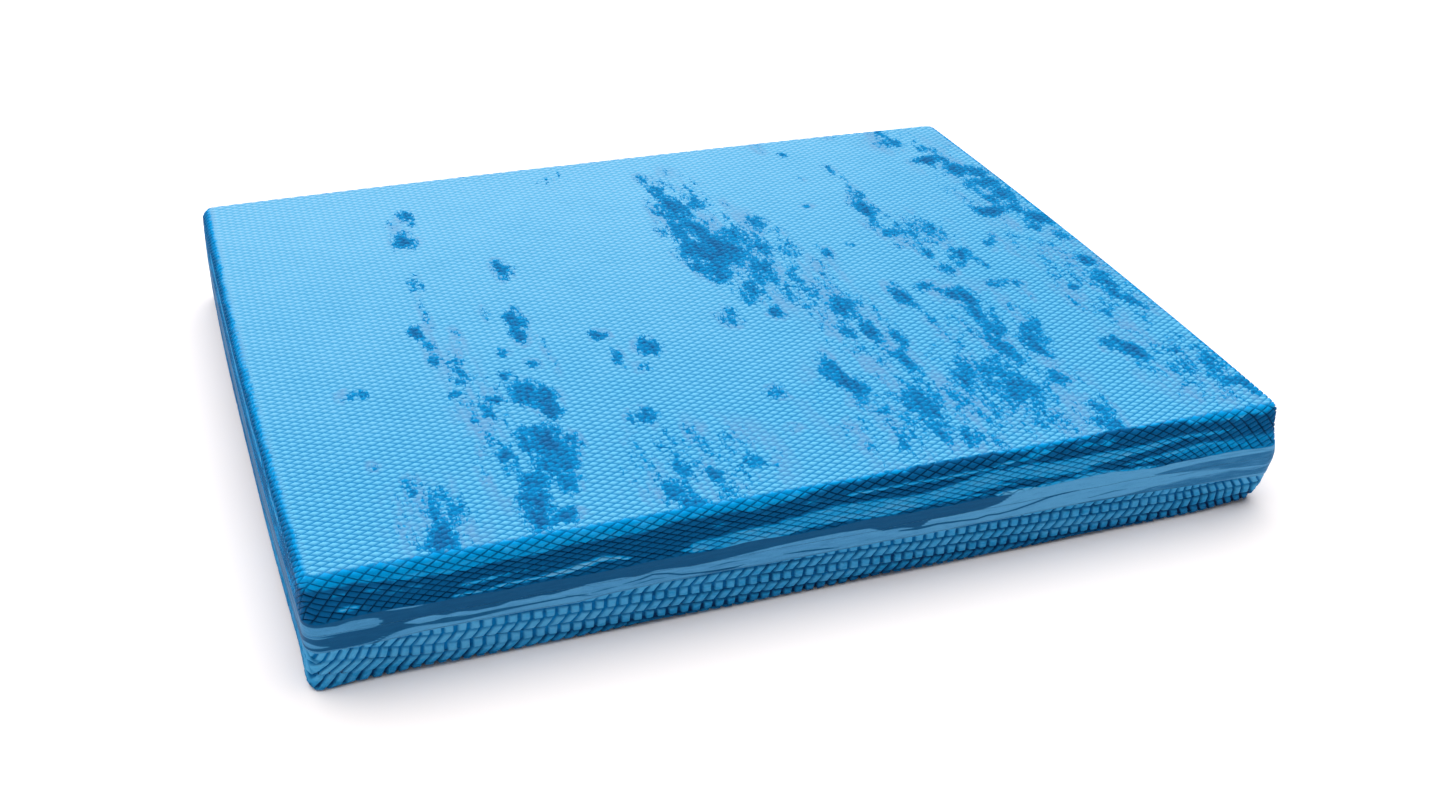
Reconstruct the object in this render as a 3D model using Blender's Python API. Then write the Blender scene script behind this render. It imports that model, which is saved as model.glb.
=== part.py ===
"""Balance pad: a rounded block of closed-cell foam, laid up from flat plies bonded face to face.

Metres, +Z up. The origin is at the centre of the underside, which rests on the floor.
+X runs along the pad's long side and +Y along its short side.
"""

import math

import bmesh
import bpy

# Driving dimensions of the whole pad
LENGTH = 0.500  # along X, at the widest height
WIDTH = 0.410  # along Y, at the widest height
HEIGHT = 0.060
CORNER_RADIUS = 0.008  # in plan, at the widest height
TOP_EDGE_RADIUS = 0.0055
BOTTOM_EDGE_INSET = 0.002  # the lower edge is a quarter ellipse, this wide
BOTTOM_EDGE_HEIGHT = 0.008  # and this tall
WIDEST_HEIGHT = 0.030
SIDE_BULGE = 0.0005  # how far the sides draw in between the widest height and the top

# The plies, from the floor up: name, base colour (linear) and roughness
PLIES = (
    ("base_ply", (0.021, 0.171, 0.402), 0.78),
    ("lower_ply", (0.030, 0.200, 0.440), 0.74),
    ("lower_middle_ply", (0.071, 0.283, 0.546), 0.58),
    ("upper_middle_ply", (0.013, 0.102, 0.262), 0.62),
    ("upper_ply", (0.004, 0.080, 0.200), 0.70),
    ("top_ply", (0.141, 0.515, 0.871), 0.70),
)
PLY_THICKNESS = HEIGHT / len(PLIES)
BOND_GAP = 0.0003  # left open between neighbouring plies

# Fineness of the meshes
CORNER_SEGMENTS = 8
RINGS_PER_PLY = 6


def clear_scene():
    for item in list(bpy.data.objects):
        bpy.data.objects.remove(item, do_unlink=True)


def side_inset(height):
    """How far the side stands in from the widest outline at this height above the floor."""
    inset = SIDE_BULGE * ((height - WIDEST_HEIGHT) / (HEIGHT - WIDEST_HEIGHT)) ** 2
    rise = height - (HEIGHT - TOP_EDGE_RADIUS)
    if rise > 0:
        inset += TOP_EDGE_RADIUS - math.sqrt(max(TOP_EDGE_RADIUS**2 - rise**2, 0.0))
    drop = (BOTTOM_EDGE_HEIGHT - height) / BOTTOM_EDGE_HEIGHT
    if drop > 0:
        inset += BOTTOM_EDGE_INSET * (1 - math.sqrt(max(1 - drop**2, 0.0)))
    return inset


def outline(inset):
    """The rounded rectangle that stands this far in from the widest outline, anticlockwise from above."""
    radius = CORNER_RADIUS - inset
    corner_x = LENGTH / 2 - CORNER_RADIUS
    corner_y = WIDTH / 2 - CORNER_RADIUS
    points = []
    for quarter, (side_x, side_y) in enumerate(((1, 1), (-1, 1), (-1, -1), (1, -1))):
        for step in range(CORNER_SEGMENTS + 1):
            angle = math.radians(90) * (quarter + step / CORNER_SEGMENTS)
            x = side_x * corner_x + radius * math.cos(angle)
            y = side_y * corner_y + radius * math.sin(angle)
            points.append((x, y))
    return points


def ring_heights(bottom, top):
    """Heights of a ply's rings, crowded towards the pad's rounded upper and lower edges."""
    steps = [ring / (RINGS_PER_PLY - 1) for ring in range(RINGS_PER_PLY)]
    if top == HEIGHT:
        steps = [1 - (1 - step) ** 2 for step in steps]
    if bottom == 0:
        steps = [step**2 for step in steps]
    return [bottom + (top - bottom) * step for step in steps]


def ply_mesh(name, bottom, top):
    """One ply as a closed stack of rings with a flat face below and above; its local zero is its lower face."""
    shape = bmesh.new()
    rings = []
    for height in ring_heights(bottom, top):
        points = outline(side_inset(height))
        rings.append([shape.verts.new((x, y, height - bottom)) for x, y in points])
    for lower, upper in zip(rings, rings[1:]):
        for start in range(len(lower)):
            end = (start + 1) % len(lower)
            shape.faces.new((lower[start], lower[end], upper[end], upper[start]))
    shape.faces.new(reversed(rings[0]))
    shape.faces.new(rings[-1])
    mesh = bpy.data.meshes.new(name)
    shape.to_mesh(mesh)
    shape.free()
    mesh.shade_smooth()
    mesh.set_sharp_from_angle(angle=math.radians(35))
    return mesh


def foam_material(name, colour, roughness):
    material = bpy.data.materials.new(name)
    material.use_nodes = True
    shader = material.node_tree.nodes["Principled BSDF"]
    shader.inputs["Base Color"].default_value = (*colour, 1.0)
    shader.inputs["Roughness"].default_value = roughness
    shader.inputs["Metallic"].default_value = 0.0
    return material


def add_ply(pad, index, name, colour, roughness):
    """The ply at this place in the stack, as its own object on the pad's empty."""
    is_lowest = index == 0
    is_highest = index == len(PLIES) - 1
    bottom = index * PLY_THICKNESS + (0 if is_lowest else BOND_GAP / 2)
    top = HEIGHT if is_highest else (index + 1) * PLY_THICKNESS - BOND_GAP / 2
    ply = bpy.data.objects.new(name, ply_mesh(name, bottom, top))
    ply.data.materials.append(foam_material(f"{name}_foam", colour, roughness))
    ply.location.z = bottom
    ply.parent = pad
    bpy.context.scene.collection.objects.link(ply)


def build_pad():
    clear_scene()
    pad = bpy.data.objects.new("balance_pad", None)
    bpy.context.scene.collection.objects.link(pad)
    for index, (name, colour, roughness) in enumerate(PLIES):
        add_ply(pad, index, name, colour, roughness)


build_pad()
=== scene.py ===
"""Looks of the balance pad: six marbled foam plies, with lozenges above, a smooth band, and a tread below.

Each ply is one closed mesh in real relief. The lozenges belong to one sheet that is draped from the top
over the edges, and the tread bars to another that is draped from the underside. Between them runs the
smooth band.
"""

import math

import bmesh
import bpy
import numpy as np
from mathutils import Matrix, Vector


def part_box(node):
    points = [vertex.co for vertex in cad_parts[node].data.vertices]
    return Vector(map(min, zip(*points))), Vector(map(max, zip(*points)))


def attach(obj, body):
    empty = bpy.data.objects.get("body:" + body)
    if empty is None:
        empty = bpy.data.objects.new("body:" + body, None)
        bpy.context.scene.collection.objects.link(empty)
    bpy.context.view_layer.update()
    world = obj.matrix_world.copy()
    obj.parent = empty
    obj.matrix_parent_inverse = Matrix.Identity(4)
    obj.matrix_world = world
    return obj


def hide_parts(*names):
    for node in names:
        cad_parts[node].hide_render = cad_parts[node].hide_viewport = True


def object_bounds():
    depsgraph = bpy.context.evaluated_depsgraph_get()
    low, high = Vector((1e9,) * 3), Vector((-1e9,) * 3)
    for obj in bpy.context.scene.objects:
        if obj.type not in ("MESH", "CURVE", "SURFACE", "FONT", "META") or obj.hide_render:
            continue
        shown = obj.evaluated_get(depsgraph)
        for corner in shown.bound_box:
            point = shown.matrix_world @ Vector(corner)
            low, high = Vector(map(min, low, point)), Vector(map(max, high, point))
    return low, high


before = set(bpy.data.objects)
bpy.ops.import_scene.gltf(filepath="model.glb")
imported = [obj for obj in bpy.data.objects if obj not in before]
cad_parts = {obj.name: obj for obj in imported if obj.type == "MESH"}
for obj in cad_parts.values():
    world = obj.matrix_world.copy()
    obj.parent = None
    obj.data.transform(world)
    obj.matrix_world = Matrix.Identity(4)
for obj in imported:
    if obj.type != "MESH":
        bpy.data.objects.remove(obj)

MM = 0.001
QUARTER = math.pi / 2

# ---------------------------------------------------------------- sizes, from the frame where it has them

cad_low, cad_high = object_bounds()
LENGTH = cad_high.x - cad_low.x
WIDTH = cad_high.y - cad_low.y
HEIGHT = cad_high.z - cad_low.z
PLY_NAMES = ("base_ply", "lower_ply", "lower_middle_ply", "upper_middle_ply", "upper_ply", "top_ply")
SEAMS = [
    (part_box(under)[1].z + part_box(over)[0].z) / 2
    for under, over in zip(PLY_NAMES, PLY_NAMES[1:])
]
PLY_GAP = 0.15 * MM  # left open between two plies at their common seam

# The block's outer shape, as in the CAD plies
CORNER_RADIUS = 8 * MM
TOP_EDGE_RADIUS = 5.5 * MM
BOTTOM_EDGE_INSET = 2 * MM
BOTTOM_EDGE_HEIGHT = 8 * MM
WIDEST_HEIGHT = 30 * MM
SIDE_BULGE = 0.5 * MM
CORNER_X = LENGTH / 2 - CORNER_RADIUS
CORNER_Y = WIDTH / 2 - CORNER_RADIUS
PERIMETER = 4 * (CORNER_X + CORNER_Y) + 4 * QUARTER * CORNER_RADIUS

# The lozenge emboss
LOZENGE_LENGTH = 7.94 * MM  # along X
LOZENGE_WIDTH = 4.15 * MM  # along Y
LOZENGE_DEPTH = 0.78 * MM
LOZENGE_CROWN = 0.12 * MM
TOP_PLATEAU = 0.50  # share of a lozenge that its raised middle takes, on the top
SIDE_PLATEAU = 0.76  # and on the sides, where the sheet is drawn tight
SIDE_SQUEEZE = 0.73  # how much the draped lozenges are shortened on the sides
LOZENGE_END = 36.6 * MM  # height at which the lozenges stop on the sides
LOZENGE_SPREAD = 90 * MM  # the sheet is pulled out of line this far along the sides from each corner
LOZENGE_PULL = 0.85  # sheet used per length of edge straight down a corner

# The coarse tread
BAR_PITCH = 5.85 * MM  # along X
ROW_PITCH = 5.25 * MM
BAR_GROOVE = 1.15 * MM  # flat bottom of the groove between two bars
BAR_WALL = 0.8 * MM
ROW_GROOVE = 0.5 * MM  # flat bottom of the groove between two rows, near the front and back sides
PLAIN_GROOVE_MARGIN = 16 * MM  # further in from those sides it is a plain V
ROW_WALL = 0.7 * MM
BAR_DEPTH = 1.4 * MM
ROW_DEPTH = 1.3 * MM  # where a groove parts two rows entirely; in places they are nearly joined
BAR_SLANT = 4.4 * MM  # how far a slanted row of bars leans over its height
BAR_HEIGHT_SPREAD = 0.12 * MM  # unevenness of the bars
BAR_PLACE_SPREAD = 0.15 * MM
BAR_SHEAR = 0.42  # near the right front corner all rows are sheared the other way by this slope
SHEAR_PLACE = (160 * MM, 200 * MM)  # X at which that begins, and at which it is full
SHEAR_REACH = 14 * MM  # how far it goes on above and below the slanted row
TREAD_TURN = math.radians(2.6)  # the tread lies a little askew
SLANTED_ROW_HEIGHT = 8.7 * MM  # where the front side shows the middle of a slanted row
SLANTED_ROW_PLACE = -40 * MM  # at this X
TREAD_END = 21.4  # height at which the tread stops on the sides, in millimetres
FRONT_TREAD_END = (  # and along the front: place, height
    (0, 20.4), (30, 20.8), (48, 21.8), (100, 22.4), (122, 21.4), (150, 22.8), (166, 23.4), (200, 22.8),
    (300, 21.6), (380, 21.8), (410, 21.2), (440, 20.0), (470, 19.0), (500, 18.4),
)
TREAD_SPREAD = 62 * MM
TREAD_PULL = 0.75

# How the block bows out of its straight outline, at the middle of each side
BOW_LEFT = 2.6 * MM
BOW_RIGHT = 3.7 * MM
BOW_BACK = 2.8 * MM
CORNER_SWELL = 3.2 * MM  # the right front corner stands out at half height
SWELL_REACH, SWELL_HEIGHT, SWELL_SPREAD = 40 * MM, 30 * MM, 12 * MM
CORNER_TUCK = 4.5 * MM  # and draws in towards the floor
TUCK_REACH, TUCK_TOP = 45 * MM, 15 * MM
CORNER_FLARE = 3.0 * MM  # the left front corner stands out at the floor
FLARE_REACH, FLARE_TOP = 35 * MM, 14 * MM
SIDE_UNEVENNESS = 0.6 * MM
TOP_DIP = 0.4 * MM  # the top is lower by up to this, here and there


# ---------------------------------------------------------------- noise

def lattice_value(x, y, z, seed):
    """A fixed random value from 0 to 1 for each whole-number point."""
    mixed = x * 374761393 + y * 668265263 + z * 2147483629 + seed * 1442695041
    mixed = (mixed ^ (mixed >> 13)) * 1274126177 & 0xFFFFFFFF
    mixed = (mixed ^ (mixed >> 15)) * 2246822519 & 0xFFFFFFFF
    return (mixed ^ (mixed >> 16)) / 0xFFFFFFFF


def value_noise(points, seed):
    """Smooth noise from 0 to 1 at an (n, 3) array of points, one unit to a lump."""
    cell = np.floor(points).astype(np.int64)
    part = points - cell
    part = part * part * (3 - 2 * part)
    total = np.zeros(len(points))
    for corner in np.ndindex(2, 2, 2):
        weight = np.ones(len(points))
        for axis in range(3):
            weight *= part[:, axis] if corner[axis] else 1 - part[:, axis]
        total += weight * lattice_value(*(cell[:, axis] + corner[axis] for axis in range(3)), seed)
    return total


def rough_noise(points, seed, octaves=4):
    """Noise of several sizes together, from 0 to 1."""
    total = np.zeros(len(points))
    share = 0.5
    for octave in range(octaves):
        total += share * value_noise(points * 2**octave, seed + octave)
        share /= 2
    return total / (1 - 0.5**octaves)


def stacked(*columns):
    """Coordinates side by side as an (n, 3) array; a plain number fills its whole column."""
    shape = np.shape(columns[0])
    return np.stack([np.broadcast_to(column, shape) for column in columns], axis=1).astype(float)


def smooth_step(low, high, value):
    part = np.clip((value - low) / (high - low), 0, 1)
    return part * part * (3 - 2 * part)


# ---------------------------------------------------------------- the block's shape

def bulge_inset(height):
    return SIDE_BULGE * ((height - WIDEST_HEIGHT) / (HEIGHT - WIDEST_HEIGHT)) ** 2


def profile_points():
    """The vertical cut through a side, from the top's flat to the underside's.

    Returns how far each point reaches beyond the corner axis, and its height.
    """
    reach, height = [0.0], [HEIGHT]
    for step in range(25):
        angle = QUARTER * (1 - step / 24)
        here = HEIGHT - TOP_EDGE_RADIUS * (1 - math.sin(angle))
        height.append(here)
        reach.append(CORNER_RADIUS - TOP_EDGE_RADIUS * (1 - math.cos(angle)) - bulge_inset(here))
    for here in np.linspace(HEIGHT - TOP_EDGE_RADIUS, BOTTOM_EDGE_HEIGHT, 34)[1:-1]:
        height.append(here)
        reach.append(CORNER_RADIUS - bulge_inset(here))
    for step in range(25):
        angle = QUARTER * step / 24
        here = BOTTOM_EDGE_HEIGHT * (1 - math.sin(angle))
        height.append(here)
        reach.append(CORNER_RADIUS - BOTTOM_EDGE_INSET * (1 - math.cos(angle)) - bulge_inset(here))
    reach.append(0.0)
    height.append(0.0)
    return np.array(reach), np.array(height)


PROFILE_REACH, PROFILE_HEIGHT = profile_points()


def reach_at(height):
    """How far the side stands beyond the corner axis at this height."""
    return np.interp(height, PROFILE_HEIGHT[::-1], PROFILE_REACH[::-1])


class Section:
    """The cut through a side as a draped sheet follows it, from the flat face it starts on.

    Distances run along the block's surface. Away from a corner, sheet says how much of the flat sheet they
    take.
    """

    def __init__(self, reach, height, squeeze, spread, pull):
        length = np.hypot(np.diff(reach), np.diff(height))
        fold = np.abs(height - height[0])
        middle = (fold[1:] + fold[:-1]) / 2
        share = 1 - (1 - squeeze) * smooth_step(3 * MM, 9 * MM, middle)
        self.distance = np.concatenate(([0], np.cumsum(length)))
        self.sheet = np.concatenate(([0], np.cumsum(length / share)))
        self.rate = np.gradient(self.sheet, self.distance)
        self.reach, self.height = reach, height
        slope_reach = np.gradient(reach, self.distance)
        slope_height = np.gradient(height, self.distance)
        size = np.hypot(slope_reach, slope_height)
        side = 1 if height[0] > height[-1] else -1
        self.out = -side * slope_height / size
        self.up = side * slope_reach / size
        self.spread, self.pull = spread, pull

    def at(self, distance, column):
        return np.interp(distance, self.distance, column)

    def sheet_at(self, height):
        """How much sheet is used up to this height on a side."""
        order = np.argsort(self.height)
        return float(np.interp(height, self.height[order], self.sheet[order]))

    def settle_sheet(self, outward, inward):
        """Where a point of the sheet comes to lie: distance down the side, and along it from the corner."""
        down = np.maximum(outward, 0)
        away = np.maximum(inward, 0)
        for _ in range(30):
            near = 1 - smooth_step(0, self.spread, away)
            rounding = QUARTER / 2 * self.at(down, self.reach)
            away = np.maximum(inward + rounding * (1 - near) + self.pull * down * near, 0)
            used = self.at(down, self.sheet) * (1 - near) + self.pull * down * near
            rate = self.at(down, self.rate) * (1 - near) + self.pull * near
            down = np.clip(down - (used - outward) / rate, 0, self.distance[-1])
        return down, away


UPWARD_REACH, UPWARD_HEIGHT = PROFILE_REACH[::-1].copy(), PROFILE_HEIGHT[::-1].copy()
LOZENGE_SECTION = Section(PROFILE_REACH, PROFILE_HEIGHT, SIDE_SQUEEZE, LOZENGE_SPREAD, LOZENGE_PULL)
TREAD_SECTION = Section(UPWARD_REACH, UPWARD_HEIGHT, 1.0, TREAD_SPREAD, TREAD_PULL)


def drape(section, u, v, lift):
    """Lays points of a flat sheet on the block, over its edges and round its corners, raised by lift."""
    past_u, past_v = np.abs(u) - CORNER_X, np.abs(v) - CORNER_Y
    over_x = past_u > past_v
    outward, inward = np.maximum(past_u, past_v), -np.minimum(past_u, past_v)
    down, away = section.settle_sheet(outward, inward)
    reach = section.at(down, section.reach)
    full = reach + lift * section.at(down, section.out)
    corner = QUARTER / 2 * reach
    turn = QUARTER / 2 * np.clip(1 - away / np.maximum(corner, 1e-9), 0, 1)
    sideways = full * np.sin(turn) - np.maximum(away - corner, 0)
    forward = full * np.cos(turn)
    x = CORNER_X + np.where(over_x, forward, sideways)
    y = CORNER_Y + np.where(over_x, sideways, forward)
    flat = outward <= 0
    x = np.where(flat, np.abs(u), x) * np.where(u < 0, -1, 1)
    y = np.where(flat, np.abs(v), y) * np.where(v < 0, -1, 1)
    z = section.at(down, section.height) + lift * section.at(down, section.up)
    return np.stack([x, y, z], axis=1)


def round_place(points):
    """Place along the perimeter of points on or near the sides, anticlockwise from the front's left end."""
    x, y = points[:, 0], points[:, 1]
    past_x = np.maximum(np.abs(x) - CORNER_X, 0)
    past_y = np.maximum(np.abs(y) - CORNER_Y, 0)
    arc = QUARTER * CORNER_RADIUS
    turn = np.arctan2(past_y, past_x) * CORNER_RADIUS
    near_x, near_y = np.clip(x, -CORNER_X, CORNER_X), np.clip(y, -CORNER_Y, CORNER_Y)
    front = CORNER_X + near_x
    right = 2 * CORNER_X + arc + CORNER_Y + near_y
    back = 2 * (CORNER_X + CORNER_Y) + 2 * arc + CORNER_X - near_x
    left = 4 * CORNER_X + 2 * CORNER_Y + 3 * arc + CORNER_Y - near_y
    on_front_or_back = np.abs(y) - CORNER_Y > np.abs(x) - CORNER_X
    place = np.where(on_front_or_back, np.where(y < 0, front, back), np.where(x < 0, left, right))
    corner = (past_x > 0) & (past_y > 0)
    corner_place = np.where(
        y < 0,
        np.where(x > 0, 2 * CORNER_X + arc - turn, PERIMETER - arc + turn),
        np.where(
            x > 0,
            2 * (CORNER_X + CORNER_Y) + arc + turn,
            4 * CORNER_X + 2 * CORNER_Y + 3 * arc - turn,
        ),
    )
    return np.where(corner, corner_place, place) % PERIMETER


def on_perimeter(place, reach):
    """The point at this place along the perimeter, reach beyond the corner axes."""
    arc = QUARTER * CORNER_RADIUS
    corners = ((1, -1), (1, 1), (-1, 1), (-1, -1))
    x, y = np.zeros_like(place), np.zeros_like(place)
    start = 0.0
    place = place % PERIMETER
    for index, (side_x, side_y) in enumerate(corners):
        run = 2 * (CORNER_X if index % 2 == 0 else CORNER_Y)
        heading = index * QUARTER
        along = np.clip(place - start, 0, run)
        turn = np.clip((place - start - run) / CORNER_RADIUS, 0, QUARTER)
        here = (place >= start) & (place < start + run + arc)
        begin_x = side_x * CORNER_X - run * math.cos(heading)
        begin_y = side_y * CORNER_Y - run * math.sin(heading)
        facing = heading - QUARTER + turn
        x = np.where(here, begin_x + along * math.cos(heading) + reach * np.cos(facing), x)
        y = np.where(here, begin_y + along * math.sin(heading) + reach * np.sin(facing), y)
        start += run + arc
    return x, y


def settle(points):
    """The unevenness of a real foam block: bowed sides, uneven front corners, and soft waves all over."""
    x, y, z = points.T
    bow_x = np.where(x > 0, BOW_RIGHT, BOW_LEFT) * (1 - (2 * y / WIDTH) ** 2)
    bow_y = np.where(y > 0, BOW_BACK, 0) * (1 - (2 * x / LENGTH) ** 2)
    swell = rough_noise(points / (0.11, 0.11, 0.05), seed=11, octaves=2) - 0.5
    size = np.maximum(np.hypot(x, y), 1e-9)
    edge = np.maximum(np.abs(x) / (LENGTH / 2), np.abs(y) / (WIDTH / 2))
    push = smooth_step(0.7, 1.0, edge) * swell * SIDE_UNEVENNESS / size
    from_right, from_left = np.hypot(x - LENGTH / 2, y + WIDTH / 2), np.hypot(x + LENGTH / 2, y + WIDTH / 2)
    swollen = np.exp(-(((z - SWELL_HEIGHT) / SWELL_SPREAD) ** 2))
    swollen = np.clip(1 - from_right / SWELL_REACH, 0, 1) * swollen
    tucked = smooth_step(TUCK_REACH, 0, from_right) * np.clip(1 - z / TUCK_TOP, 0, 1) ** 1.4
    swollen = math.sqrt(0.5) * (CORNER_SWELL * swollen - CORNER_TUCK * tucked)
    flared = smooth_step(FLARE_REACH, 0, from_left) * np.clip(1 - z / FLARE_TOP, 0, 1) ** 1.3
    flared = math.sqrt(0.5) * CORNER_FLARE * flared
    dip = value_noise(points / (0.14, 0.14, 1.0), seed=23) - 1
    return np.stack(
        [
            x * (1 + 2 * bow_x / LENGTH + push) + swollen - flared,
            y * (1 + 2 * bow_y / WIDTH + push) - swollen - flared,
            z + (z / HEIGHT) ** 2 * dip * TOP_DIP,
        ],
        axis=1,
    )


# ---------------------------------------------------------------- marbling: 0 is the lightest blue, 1 navy

# Dark marks on the top, in millimetres from its front left corner: x, y, half width, half length, strength
LEFT_MARKS = (
    (117, 357, 4, 6, 0.6), (107, 347, 2.5, 6, 0.5), (119, 343, 2, 3, 0.5), (109, 320, 6, 11, 0.9),
    (105, 265, 3, 10, 0.6), (156, 268, 4, 10, 0.85), (103, 229, 1.2, 14, 0.7), (95, 207, 3, 6, 1),
    (98, 192, 2, 12, 0.8), (97, 175, 2.5, 5, 1), (114, 196, 2, 9, 0.45), (111, 182, 3, 6, 0.5),
    (135, 218, 1.5, 8, 0.4), (152, 216, 1.5, 6, 0.7), (148, 207, 4, 8, 1), (146, 192, 3, 9, 0.9),
    (155, 165, 0.7, 16, 0.6), (107, 170, 3, 3, 0.9), (106, 159, 3, 8, 0.8), (104, 150, 3, 5, 0.8),
    (133, 173, 1.7, 4, 0.7), (144, 156, 2, 3.5, 0.9), (128, 147, 2, 5, 0.9), (132, 129, 8, 10, 1.05),
    (141, 123, 6, 8, 1), (142, 110, 4, 8, 1), (117, 127, 4, 4, 0.9), (99, 137, 2.5, 2.5, 0.9),
    (103, 127, 6, 8, 0.35), (104, 110, 1.5, 6, 0.7), (110, 112, 2, 4, 0.6), (107, 88, 2, 14, 0.7),
    (130, 88, 8, 9, 1), (131, 75, 11, 12, 1.15), (130, 60, 9, 9, 1.1), (109, 72, 5, 6, 0.9),
    (112, 60, 6, 7, 0.7), (118, 48, 8, 7, 1), (131, 44, 5, 9, 0.9), (113, 33, 6, 9, 1),
    (109, 20, 4, 10, 1), (112, 10, 2.5, 5, 0.8), (124, 15, 5, 4, 1), (96, 62, 1.5, 8, 0.5),
    (50, 152, 5, 4, 0.7), (48, 83, 2, 3, 0.5), (62, 62, 3, 7, 0.5), (66, 34, 4, 14, 0.7),
    (78, 37, 3, 14, 0.7), (65, 15, 6, 11, 1),
)
MIDDLE_MARKS = (
    (186, 176, 4, 4, 1), (189, 150, 2, 7, 0.8), (207, 158, 5, 8, 1), (198, 137, 4, 4, 0.65),
    (183, 87, 5, 7, 1), (177, 87, 2, 4, 0.7), (187, 46, 3, 6, 0.9), (185, 35, 2, 10, 0.9),
    (184, 20, 2, 8, 0.8), (176, 18, 5, 9, 1), (180, 8, 7, 4, 0.8), (199, 29, 4, 6, 0.9),
    (212, 27, 2, 2.5, 0.7), (222, 33, 5, 5, 0.9), (196, 10, 4, 4, 0.6), (250, 55, 3, 3, 0.4),
    (217, 385, 13, 10, 0.2), (273, 367, 3, 8, 0.65), (275, 346, 6, 16, 0.75), (279, 318, 12, 22, 0.8),
    (292, 325, 6, 15, 0.7), (277, 288, 14, 20, 0.8), (282, 257, 17, 21, 1.15), (273, 236, 9, 16, 0.95),
    (276, 228, 7, 10, 0.9), (298, 222, 8, 18, 0.8), (284, 200, 7, 12, 0.9), (288, 175, 3.5, 7, 0.9),
    (261, 177, 6, 9, 0.5), (309, 265, 9, 28, 0.5), (318, 287, 6, 9, 0.6), (303, 318, 7, 12, 0.35),
    (313, 205, 5, 22, 0.6), (324, 170, 8, 12, 0.85), (327, 137, 3.5, 24, 0.9), (331, 95, 3.5, 20, 0.8),
    (338, 126, 2, 11, 0.8), (316, 137, 2, 6, 0.7), (291, 97, 5, 18, 0.95), (297, 84, 4, 9, 0.95),
    (256, 92, 6, 5, 0.5), (322, 56, 8, 20, 0.85), (318, 30, 3, 20, 0.8), (298, 56, 3, 4, 0.6),
    (297, 36, 2.5, 4, 0.6), (295, 22, 3, 3.5, 0.7), (331, 22, 7, 10, 0.6), (342, 237, 3, 7, 0.8),
    (323, 238, 4, 5, 0.6),
)
RIGHT_MARKS = (
    (357, 301, 3, 3, 0.45), (371, 341, 1, 3, 0.4), (395, 348, 2.5, 8, 0.8), (398, 335, 1.5, 5, 0.6),
    (396, 317, 3, 6, 0.6), (391, 289, 5, 11, 1), (394, 309, 3, 8, 0.7), (387, 268, 4, 6, 0.6),
    (386, 262, 3, 6, 0.8), (392, 249, 7, 5, 0.8), (400, 273, 2, 3, 0.7), (415, 256, 9, 14, 0.5),
    (386, 231, 4, 3, 0.35), (360, 242, 2, 2, 0.5), (400, 218, 3, 5, 0.9), (418, 211, 6, 8, 1),
    (425, 196, 2, 7, 0.8), (402, 196, 4, 7, 0.8), (412, 200, 3, 5, 0.6), (361, 172, 4, 13, 1),
    (366, 130, 1.2, 22, 0.7), (380, 178, 5, 5, 0.8), (384, 173, 4, 3, 0.9), (391, 166, 6, 6, 1),
    (396, 154, 3.5, 10, 1), (393, 139, 4, 10, 1), (394, 119, 5, 9, 0.8), (388, 101, 4, 16, 0.8),
    (414, 115, 5, 7, 0.85), (409, 100, 5, 11, 0.9), (419, 117, 2, 6, 0.7), (388, 92, 3, 30, 0.7),
    (361, 88, 6, 16, 0.65), (376, 56, 10, 14, 0.9), (374, 75, 8, 10, 0.6), (407, 92, 8, 10, 0.75),
    (401, 62, 4, 8, 0.7), (378, 22, 10, 12, 0.6), (403, 12, 6, 6, 0.8), (408, 25, 4, 8, 0.7),
    (409, 31, 3, 8, 0.6), (421, 169, 5, 4, 0.8), (432, 164, 2, 3, 0.7), (430, 150, 2, 6, 0.35),
)
FAR_RIGHT_MARKS = (
    (364, 399, 3, 7, 0.4), (375, 383, 2, 3, 0.8), (419, 403, 2.5, 2.5, 0.45), (456, 400, 5, 6, 0.6),
    (455, 382, 6, 10, 0.85), (470, 368, 2.5, 6, 0.55), (463, 348, 9, 5, 1), (476, 345, 2, 6, 0.8),
    (476, 328, 8, 10, 1), (488, 321, 8, 9, 1), (483, 304, 12, 10, 1), (484, 281, 6, 13, 0.95),
    (473, 278, 5, 8, 0.7), (466, 263, 10, 7, 0.9), (482, 261, 6, 9, 0.85), (488, 245, 8, 9, 1),
    (492, 237, 4, 5, 0.8), (450, 229, 1, 2.5, 0.8), (446, 223, 1, 3.5, 0.8), (441, 216, 1, 4, 0.7),
    (461, 226, 2, 4, 0.4), (454, 210, 3, 9, 0.4), (490, 219, 3, 9, 0.9), (479, 233, 2.5, 3, 0.8),
    (470, 214, 1.5, 6, 0.4), (476, 178, 2, 2.5, 0.9), (487, 180, 4, 6, 1), (496, 182, 2.5, 5, 0.8),
    (486, 162, 2.5, 7, 1), (484, 150, 4, 8, 1), (480, 138, 3.5, 8, 1), (484, 126, 4, 5, 1),
    (487, 120, 2, 4, 0.8), (473, 122, 3, 2, 0.8), (463, 152, 2.5, 2.5, 0.8), (452, 134, 2, 8, 0.6),
    (463, 116, 2, 9, 0.7), (445, 84, 4, 6, 0.9), (452, 86, 3, 6, 0.9), (453, 77, 5, 7, 1),
    (456, 70, 3, 4, 0.9), (464, 52, 2.5, 7, 0.7), (463, 36, 3, 3, 0.7), (476, 68, 4, 3, 0.8),
    (486, 70, 6, 3, 0.6), (487, 50, 3, 10, 0.9), (486, 31, 6, 5, 0.9), (493, 28, 2, 6, 0.8),
    (491, 18, 4, 6, 0.6), (480, 82, 5, 4, 0.4),
)
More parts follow.
